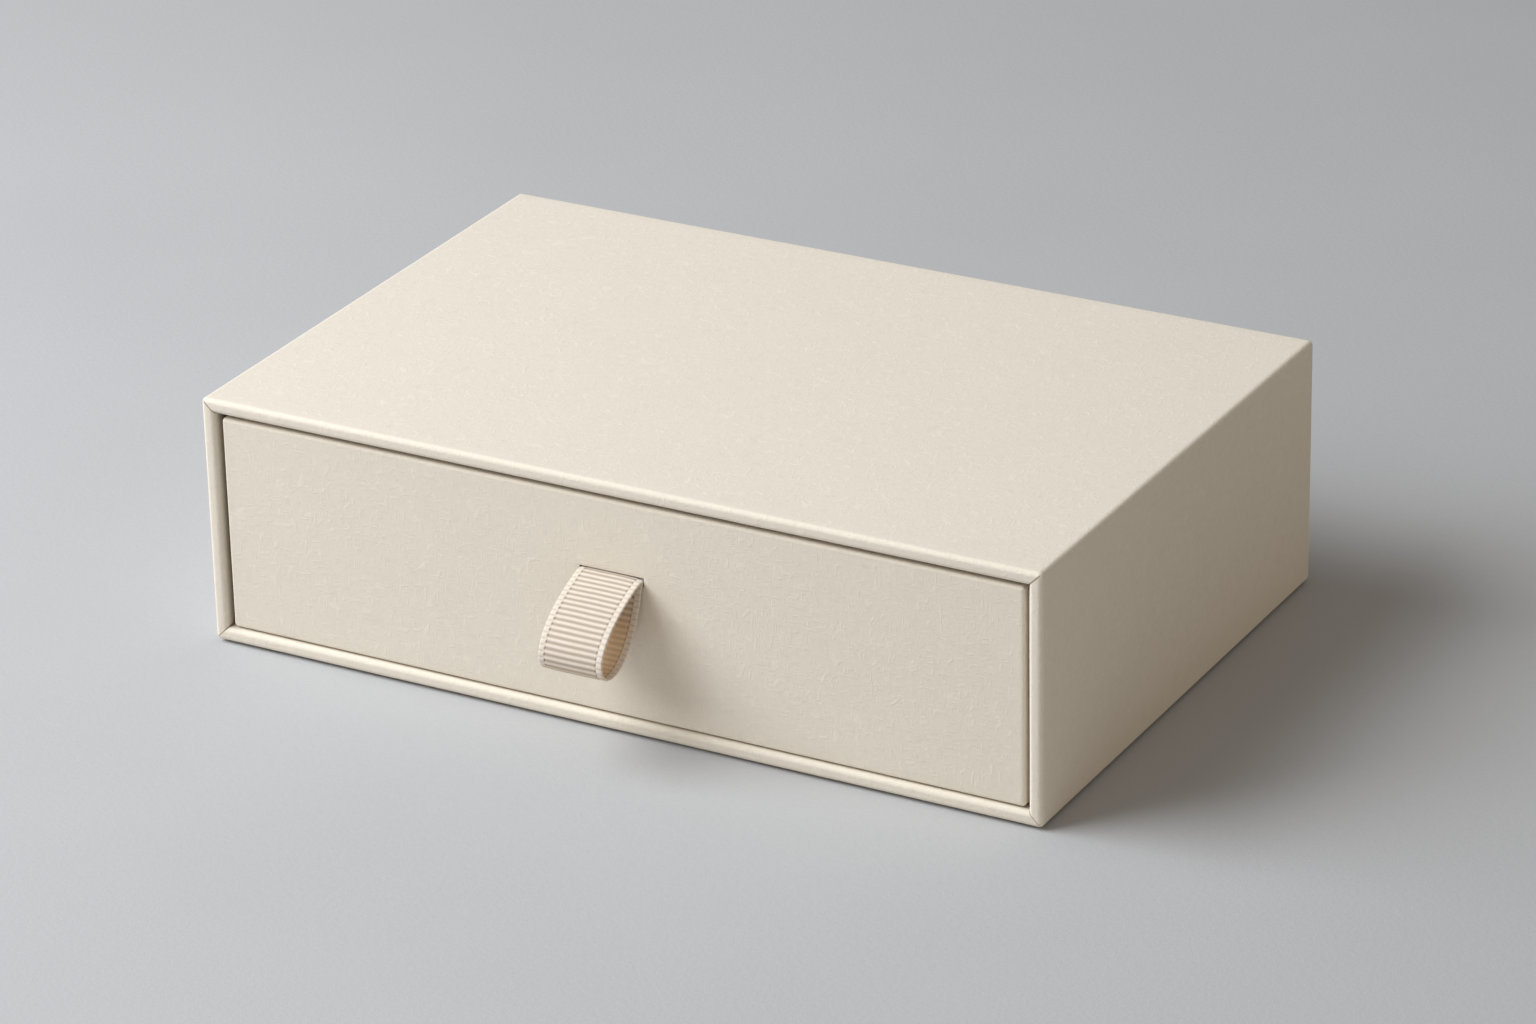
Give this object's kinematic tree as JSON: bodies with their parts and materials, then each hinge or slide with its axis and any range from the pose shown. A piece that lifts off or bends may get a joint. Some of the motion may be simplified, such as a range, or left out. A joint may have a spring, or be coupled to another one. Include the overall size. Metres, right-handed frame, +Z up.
{
  "type": "sliding drawer gift box",
  "caption": "Flat rigid presentation box: a paper-covered sleeve open at the front, and a drawer that slides out on a fabric ribbon loop.",
  "frame": {"origin": "centre of the sleeve's underside, on the surface that the box stands on", "axes": "+X across the width, the mouth and the ribbon face -Y and the drawer slides out along -Y, +Z up"},
  "size_m": [0.21, 0.1579, 0.06],
  "materials": {
    "cream_paper": "matte",
    "lining_paper": "matte",
    "greyboard": "matte",
    "kraft_tape": "satin",
    "grosgrain_ribbon": "matte"
  },
  "bodies": {
    "sleeve": {"sleeve_top_board": "greyboard", "sleeve_bottom_board": "greyboard", "sleeve_left_board": "greyboard", "sleeve_right_board": "greyboard", "sleeve_back_board": "greyboard", "sleeve_stay_top_left": "kraft_tape", "sleeve_stay_top_right": "kraft_tape", "sleeve_stay_bottom_left": "kraft_tape", "sleeve_stay_bottom_right": "kraft_tape", "sleeve_wrap": "cream_paper", "sleeve_back_cover": "cream_paper", "sleeve_tube_lining": "lining_paper", "sleeve_back_lining": "lining_paper"},
    "drawer": {"drawer_base_board": "greyboard", "drawer_front_board": "greyboard", "drawer_back_board": "greyboard", "drawer_left_board": "greyboard", "drawer_right_board": "greyboard", "drawer_stay_front_left": "kraft_tape", "drawer_stay_front_right": "kraft_tape", "drawer_stay_back_left": "kraft_tape", "drawer_stay_back_right": "kraft_tape", "drawer_wrap": "cream_paper", "drawer_wall_lining": "lining_paper", "drawer_floor_lining": "lining_paper", "ribbon_upper_tail": "grosgrain_ribbon", "ribbon_lower_tail": "grosgrain_ribbon"},
    "pull_loop": {"pull_loop": "grosgrain_ribbon"}
  },
  "joints": [
    {"name": "drawer_slide", "type": "slide", "parent": "sleeve", "child": "drawer", "axis": [0, -1, 0], "range_m": [0, 0.1343]},
    {"name": "ribbon_swing", "type": "hinge", "parent": "drawer", "child": "pull_loop", "pos_m": [0, -0.07005, 0.0373], "axis": [-1, 0, 0], "range_deg": [-15, 90], "stiffness_Nm_per_rad": 0.001}
  ]
}
